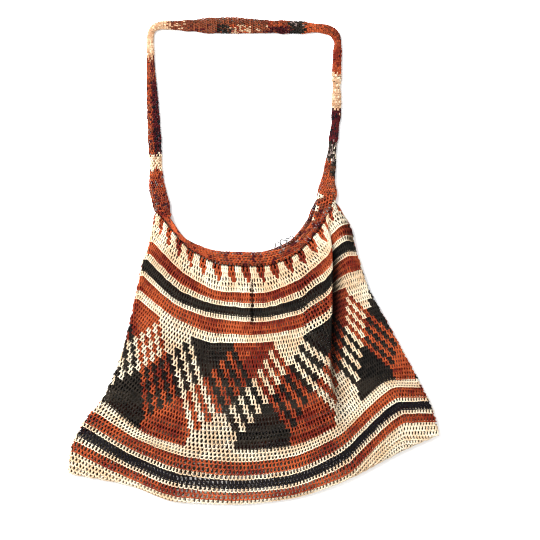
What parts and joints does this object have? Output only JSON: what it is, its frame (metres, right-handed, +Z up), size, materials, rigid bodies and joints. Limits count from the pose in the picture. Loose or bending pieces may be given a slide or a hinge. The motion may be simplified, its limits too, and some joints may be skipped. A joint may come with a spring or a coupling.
{
  "type": "bilum string bag",
  "caption": "Looped string bag lying flat on its back, with a gathered open mouth, a flared pouch and one long looped strap.",
  "frame": {"origin": "on the surface that the bag lies on, under the middle of its bounding box", "axes": "+X to the right across the bag, +Y from the hem towards the strap, +Z up from the surface through the bag's front"},
  "size_m": [0.4446, 0.583, 0.02],
  "materials": {
    "pouch_yarn": "looped spun yarn in cream, rust, charcoal and navy",
    "band_yarn": "close looped rust yarn, shaded from orange to maroon",
    "strap_yarn": "looped yarn in rust, maroon, cream and brown lengths"
  },
  "bodies": {
    "root": {"bag_body": "pouch_yarn", "mouth_band": "band_yarn", "carrying_strap": "strap_yarn"}
  },
  "joints": []
}
